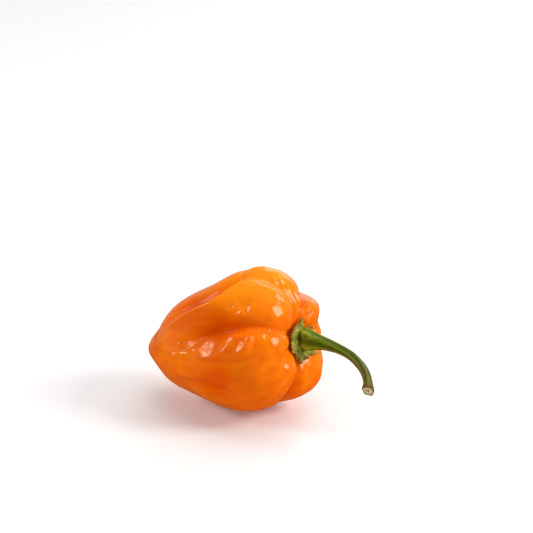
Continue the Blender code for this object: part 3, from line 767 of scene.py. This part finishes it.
def ribbed_stalk_bark():
    """A woody green stalk: satin bark, paler on its ribs as bark and as a painted sheen, and darker
    in its grooves as painted shade; pinkish brown underneath, corky where cut.
    """
    material, tree, shader = blank_material("ribbed_stalk_bark", {
        "Roughness": 0.40, "IOR": 1.45, "Specular IOR Level": 0.16,
    })
    place = add_node(tree, "TexCoord", out="Object")
    # Blotches of thicker bark, about 0.8 mm across
    blotches = add_node(tree, "TexNoise", {
        "Scale": 1 / (0.8 * MM), "Detail": 4.0, "Roughness": 0.6,
    }, {"Vector": place})
    # Fibres of the bark run along it, 0.5 mm apart round it
    round_it = {}
    for axis in "XYZ":
        round_it[axis] = add_node(tree, "Attribute", {"attribute_name": "fibre_" + axis.lower()}, out="Fac")
    strip = add_node(tree, "CombineXYZ", links=round_it)
    fibres = add_node(tree, "TexNoise", {"Scale": 2.0, "Detail": 3.0, "Roughness": 0.6}, {"Vector": strip})
    reach = add_node(tree, "Attribute", {"attribute_name": "reach"}, out="Fac")
    # Painted shade and sheen: the bark in the grooves is painted darker, and on the ribs paler, over the
    # ribs' own paler bark
    groove_bark_and_shade = add_node(tree, "ValToRGB", {
        "stops": (
            (0.0, "#7c860e"), (0.12, "#546a06"), (0.5, "#424e08"), (0.8, "#4a4a12"), (0.97, "#585218"),
        ),
    }, {"Fac": reach})
    rib_bark_and_sheen = add_node(tree, "ValToRGB", {
        "stops": (
            (0.0, "#a2a41e"), (0.12, "#7e940c"), (0.4, "#70801a"), (0.7, "#6d702e"), (0.97, "#786c28"),
        ),
    }, {"Fac": reach})
    dark = add_node(tree, "ValToRGB", {"stops": ((0.0, "#26300a"), (1.0, "#3c4010"))}, {"Fac": reach})
    brown = add_node(tree, "ValToRGB", {"stops": ((0.35, "#755232"), (0.65, "#a88462"))}, {"Fac": fibres})
    rib = add_node(tree, "Attribute", {"attribute_name": "rib"}, out="Fac")
    on_rib = add_node(tree, "MapRange", {
        "From Min": -0.4, "From Max": 0.8, "To Max": 0.9,
    }, {"Value": rib})
    thick = add_node(tree, "MapRange", {
        "From Min": 0.52, "From Max": 0.66, "To Max": 0.6,
    }, {"Value": fibres})
    browned = add_node(tree, "Attribute", {"attribute_name": "browned"}, out="Fac")
    colour = groove_bark_and_shade
    for share, over in ((on_rib, rib_bark_and_sheen), (thick, dark), (browned, brown)):
        colour = add_node(tree, "Mix", {"data_type": "RGBA"}, {"Factor": share, "A": colour, "B": over})
    tree.links.new(colour, shader["Base Color"])
    # The fibres stand a little proud, and bark cells lie over them, drawn 0.35 mm apart
    cells = add_node(tree, "TexNoise", {"Scale": 1 / (0.35 * MM), "Detail": 3.0}, {"Vector": place})
    relief = add_node(tree, "Math", {"operation": "ADD"}, {"Value": cells})
    tree.links.new(fibres, relief.node.inputs[1])
    raised = add_node(tree, "Bump", {"Distance": 0.07 * MM}, {"Height": relief})
    tree.links.new(raised, shader["Normal"])
    return material


def dried_pith():
    """The cut end of the stalk: dry corky pith, pale, inside a ring of bark that has browned."""
    material, tree, shader = blank_material("dried_pith", {
        "Roughness": 0.7, "IOR": 1.4, "Specular IOR Level": 0.25,
    })
    place = add_node(tree, "TexCoord", out="Object")
    # Pores and torn fibres, 0.45 mm across
    pores = add_node(tree, "TexNoise", {
        "Scale": 1 / (0.45 * MM), "Detail": 3.0, "Roughness": 0.6,
    }, {"Vector": place})
    pith = add_node(tree, "ValToRGB", {
        "stops": ((0.30, "#6a5428"), (0.42, "#bda970"), (0.58, "#dccb98"), (0.74, "#ece0ba")),
    }, {"Fac": pores})
    ring = add_node(tree, "ValToRGB", {"stops": ((0.35, "#3c2010"), (0.65, "#8c5a38"))}, {"Fac": pores})
    edge = add_node(tree, "Attribute", {"attribute_name": "edge"}, out="Fac")
    colour = add_node(tree, "Mix", {"data_type": "RGBA"}, {"Factor": edge, "A": pith, "B": ring})
    tree.links.new(colour, shader["Base Color"])
    raised = add_node(tree, "Bump", {"Distance": 0.12 * MM}, {"Height": pores})
    tree.links.new(raised, shader["Normal"])
    return material


def lean_to_lamp(rings, along, around, length, width, turn, lamp):
    """Flattens a small oval of the skin so that it mirrors the lamp to the camera."""
    row = round(along * POD_ROWS - 0.5)
    column = round(around / 360 * POD_COLUMNS) % POD_COLUMNS
    centre = rings[row, column]
    ahead = rings[row + GLINT_ROWS, column] - rings[row - GLINT_ROWS, column]
    beside = (column + GLINT_COLUMNS) % POD_COLUMNS
    aside = rings[row, beside] - rings[row, column - GLINT_COLUMNS]
    normal = unit(np.cross(aside, ahead))
    forward = unit(ahead)
    side = np.cross(normal, forward)
    c = math.cos(math.radians(turn))
    s = math.sin(math.radians(turn))
    offset = rings - centre
    u = offset @ (c * forward + s * side) / length
    v = offset @ (c * side - s * forward) / width
    w = offset @ normal / max(length, width)
    oval = np.exp(-((u**2 + v**2 + w**2) ** 2))
    halfway = unit(unit(lamp_place(lamp) - centre) + unit(camera_place() - centre))
    lower = (offset @ halfway) / (normal @ halfway) * oval * GLINT_STRENGTH
    return rings - lower[..., None] * normal


def make_fruit():
    """The pod with its fine relief, flat where it rests."""
    around = angles(POD_COLUMNS)[None, :]
    along = (np.arange(POD_ROWS) + 0.5)[:, None] / POD_ROWS
    # The furrows' depth starts the mark of painted shade in the folds
    points, normals, rise, hollow = pod_relief(along, around)
    grid = (POD_ROWS, POD_COLUMNS, 3)
    rings = to_world(droop(points + rise[:, None] * normals)).reshape(grid)
    for glint in GLINTS:
        rings = lean_to_lamp(rings, *glint)
    fine = waves(points)
    # Grooves add painted shade to the fold mark, and crests take it away
    for path, height, width in CREASES:
        crease = fold_height(points, tapered(path, height, width), CREASE_ROUNDNESS)
        fine += crease
        hollow -= CREASE_SHADE * crease
    # Patches of painted shade, and patches cleared of it under highlights
    for painted_patch in PAINTED_SHADE_PATCHES:
        hollow += mound(points, *painted_patch)
    hollow *= np.interp(along, *CALYX_SHADE_FADE).repeat(POD_COLUMNS, 1).ravel()
    # Beads clear the painted shade of the fold mark, as painted glints
    for k in range(BEAD_COUNT):
        sway = BEADS_SWAY * math.sin(BEADS_SWAY_STEP * k)
        spot = (BEADS_START + BEADS_STEP * k, BEADS_AROUND - sway)
        bead = mound(points, *spot, BEAD_HEIGHT, BEAD_RADIUS, BEAD_RADIUS, 0)
        fine += bead
        hollow -= BEAD_GLINT * bead
    puckered = np.zeros(len(points))
    for patch in WRINKLES:
        wrinkles, mask = wrinkle_height(points, *patch)
        fine += wrinkles
        puckered = np.maximum(puckered, mask * patch[-1] / PUCKERED_AT)
    rings += (fine[:, None] * (to_world(normals) - to_world(np.zeros(3)))).reshape(grid)
    rings[..., 2] = np.maximum(rings[..., 2], 0)
    marks = {"hollow": hollow, "puckered": np.minimum(puckered, 1)}
    return ringed_body("pod_skin", rings, "fruit", waxy_pepper_cuticle(), marks)


def calyx_seat(r, around):
    """How far along the axis the calyx's underside lies, this far out from the axis."""
    share, x, radius = OUTLINE.T
    end = share > share[np.argmax(x)]
    along = np.interp(r, radius[end][::-1], share[end][::-1])
    skin = pod_skin(along, around)[..., 0]
    smooth = np.interp(along, share, x) - CALYX_SINK
    return np.maximum(np.maximum(skin, smooth), CALYX_FLOOR) + GAP


def calyx_teeth(around):
    """How far out the ragged rim is at these angles, how far it curls up, and where veins run."""
    radius = np.full(np.shape(around), CALYX_RADIUS)
    curl = np.zeros(np.shape(around))
    vein = np.zeros(np.shape(around))
    for middle, reach, half_width, lift in CALYX_TEETH:
        off = np.abs((around - middle + 180) % 360 - 180) / half_width
        tooth = np.clip(1 - off, 0, None) ** CALYX_TOOTH_TAPER
        radius += reach * tooth
        curl += lift * tooth
        vein += np.exp(-((CALYX_VEIN_NARROWNESS * off) ** 2))
    turns = np.radians(angles(CALYX_COLUMNS))
    for size, height in CALYX_RAGS:
        spots = [(size * math.cos(turn), size * math.sin(turn), size) for turn in turns]
        radius += height * np.array([noise.noise(Vector(spot)) for spot in spots])
    return radius, curl, vein


def make_calyx():
    """The calyx: its underside from the middle out, its ragged rim, and its upper side back in."""
    around = np.broadcast_to(angles(CALYX_COLUMNS), (CALYX_RINGS - 1, CALYX_COLUMNS))
    outward = np.linspace(CALYX_INNERMOST, 1, CALYX_RINGS // 2) ** CALYX_CROWDING
    out = np.concatenate([outward, outward[-2::-1]])[:, None]
    upper = (np.arange(CALYX_RINGS - 1) >= CALYX_RINGS // 2)[:, None]
    rim, curl, vein = calyx_teeth(around)
    r = out * rim
    turn = np.radians(around)
    side = np.broadcast_to(CALYX_KNOBS_APART * upper, r.shape)
    spots = np.stack([r * np.cos(turn), r * np.sin(turn), side], axis=-1).reshape(-1, 3)
    knobs = np.reshape([noise.noise(Vector(spot)) for spot in spots], r.shape)
    curling = np.clip((out - CALYX_CURLS_FROM) / (1 - CALYX_CURLS_FROM), 0, None) ** CALYX_CURL_POWER
    x = calyx_seat(r, around) + curl * curling
    x = x + CALYX_LIFT * np.clip(out - CALYX_LIFTS_FROM, 0, None)
    thickness = CALYX_THICKNESS * (CALYX_MIDDLE - CALYX_THINS_BY * out**3)
    x = x + upper * (thickness + CALYX_KNOBS * knobs + CALYX_VEINS * vein)
    rings = to_world(x[..., None] * AXIS + r[..., None] * round_axis(around))
    marks = {"reach": np.broadcast_to(out, r.shape), "vein": vein * np.clip(CALYX_VEINS_END - out, 0, 1)}
    return ringed_body("calyx_leaf", rings, "calyx", drying_calyx_leaf(), marks)


def stem_route(places):
    """The stem's middle line at these lengths along it, with the two directions across it."""
    root = CALYX_FLOOR + STEM_STANDS_OVER
    start = to_world(root * AXIS)
    ahead = unit(to_world((root + 1) * AXIS) - start)
    towards = np.array(STEM_BEND_TOWARDS)
    across = unit(towards - towards @ ahead * ahead)
    beside = np.cross(ahead, across)
    fine = np.linspace(0, STEM_LENGTH, STEM_FINE_STEPS + 1)
    turn = np.radians(STEM_BEND) * (fine / STEM_LENGTH) ** STEM_BEND_ONSET
    forward = np.cos(turn)[:, None] * ahead + np.sin(turn)[:, None] * across
    steps = (forward[1:] + forward[:-1]) / 2 * np.diff(fine)[:, None]
    line = start + np.vstack([np.zeros(3), np.cumsum(steps, axis=0)])
    step = STEM_STEP * (1 - np.exp(-fine / STEM_STEP_OVER)) - STEM_OFF_AXIS
    line += step[:, None] * across
    turn = np.interp(places, fine, turn)[:, None]
    points = np.stack([np.interp(places, fine, line[:, k]) for k in range(3)], axis=-1)
    return points, np.cos(turn) * across - np.sin(turn) * ahead, np.broadcast_to(beside, points.shape)


def stem_radius(places, around):
    """The ribbed stem's radius, and how far up a rib each place is, from -1 to 1."""
    profile = smooth_through(STEM_RADII, STEM_STEPS)
    radius = np.interp(places, profile[:, 0], profile[:, 1])
    turned = around - np.radians(STEM_RIB_AT + STEM_TWIST * places / STEM_LENGTH)
    rib = np.cos(STEM_RIBS * turned)
    round_it = STEM_LUMPS_ROUND * np.stack([np.cos(around), np.sin(around)], axis=-1)
    spots = np.concatenate([round_it, STEM_LUMPS_ALONG * places[..., None]], axis=-1).reshape(-1, 3)
    lumps = [noise.noise(Vector(spot)) for spot in spots]
    foot = STEM_FOOT_RIBS * np.exp(-places / STEM_FOOT_LENGTH)
    swell = (STEM_RIB_DEPTH + foot) * (rib - STEM_RIB_LEVEL) + STEM_LUMPS * np.reshape(lumps, rib.shape)
    return radius * (1 + swell), rib


def make_stem():
    """The stem from its flared foot on the calyx to its cut end, and the cut face."""
    around = np.radians(angles(STEM_COLUMNS))[None, :]
    places = np.linspace(0, STEM_LENGTH, STEM_RINGS)
    points, out, beside = stem_route(places)
    radius, rib = stem_radius(*np.broadcast_arrays(places[:, None], around))
    spokes = np.cos(around)[..., None] * out[:, None, :] + np.sin(around)[..., None] * beside[:, None, :]
    rings = points[:, None, :] + radius[..., None] * spokes
    forward = np.cross(out, beside)
    drawn = np.clip((places - STEM_LENGTH + CUT_DRAWS) / CUT_DRAWS, 0, 1) ** 2
    slant = CUT_SLOPE * radius * np.cos(around - math.radians(CUT_LONGEST_AT)) * drawn[:, None]
    rings += slant[..., None] * forward[:, None, :]
    reach = np.broadcast_to((places / STEM_LENGTH)[:, None], rib.shape)
    facing_down = np.cos(around - math.radians(UNDERSIDE_AT))
    underside = np.clip((facing_down - UNDERSIDE_EDGE) / UNDERSIDE_BLUR, 0, 1)
    underside = underside * np.clip((reach - UNDERSIDE_FROM) / UNDERSIDE_COMES_IN, 0, 1)
    marks = {
        "rib": rib,
        "reach": reach,
        "browned": UNDERSIDE_BROWN * underside,
        "fibre_x": radius * np.cos(around),
        "fibre_y": radius * np.sin(around),
        "fibre_z": np.broadcast_to(places[:, None] / STEM_FIBRE_STRETCH, rib.shape),
    }
    ringed_body("stem_bark", rings, "stem", ribbed_stalk_bark(), marks)
    bark_end = rings[-1]
    middle = bark_end.mean(axis=0)
    rings = []
    edge = []
    for share, depth, browned in CUT_FACE:
        rings.append(middle + share * (bark_end - middle) + depth * forward[-1])
        edge.append(np.full(STEM_COLUMNS, browned))
    rings = np.array(rings)
    marks = {"edge": np.array(edge)}
    ringed_body("stem_cut_face", rings, "stem", dried_pith(), marks)


def light_studio():
    """A plain pale floor lit a little from below, soft boxes at both sides and above, a dim room."""
    target = Vector((0, 0, POD_AXIS_HEIGHT * MM))
    for name, (_, _, _, width, watts) in SOFT_BOXES.items():
        lamp = bpy.data.lights.new(name, "AREA")
        lamp.energy = watts
        lamp.size = width
        box = bpy.data.objects.new(name, lamp)
        box.location = Vector(lamp_place(name) * MM)
        box.rotation_euler = (target - box.location).to_track_quat("-Z", "Y").to_euler()
        # The box overhead is so soft that the wax doesn't mirror it
        box.visible_glossy = name != "ceiling_box"
        bpy.context.scene.collection.objects.link(box)
    world = bpy.data.worlds.new("room_with_pale_walls")
    world.use_nodes = True
    tree = world.node_tree
    direction = add_node(tree, "TexCoord", out="Generated")
    height = add_node(tree, "SeparateXYZ", links={"Vector": direction}, out="Z")
    level = add_node(tree, "MapRange", {"From Min": -1.0}, {"Value": height})
    walls = add_node(tree, "ValToRGB", {"stops": ROOM_LIGHT}, {"Fac": level})
    tree.links.new(walls, tree.nodes["Background"].inputs["Color"])
    tree.nodes["Background"].inputs["Strength"].default_value = ROOM_BRIGHTNESS
    bpy.context.scene.world = world
    half = FLOOR_WIDTH / 2
    corners = [(-half, -half, 0), (half, -half, 0), (half, half, 0), (-half, half, 0)]
    mesh = bpy.data.meshes.new("floor")
    mesh.from_pydata(corners, [], [(0, 1, 2, 3)])
    sheet, _, _ = blank_material("opal_acrylic_sheet", {
        "Base Color": shade("#e2e0df"),
        "Roughness": 0.5,
        "Emission Color": shade("#ffffff"),
        "Emission Strength": FLOOR_GLOW,
    })
    mesh.materials.append(sheet)
    floor = bpy.data.objects.new("floor", mesh)
    bpy.context.scene.collection.objects.link(floor)
    # A matt sheet shows no image of itself in the wax
    floor.visible_glossy = False


make_fruit()
make_calyx()
make_stem()
place_camera()
light_studio()
bpy.context.scene.view_settings.view_transform = "Standard"
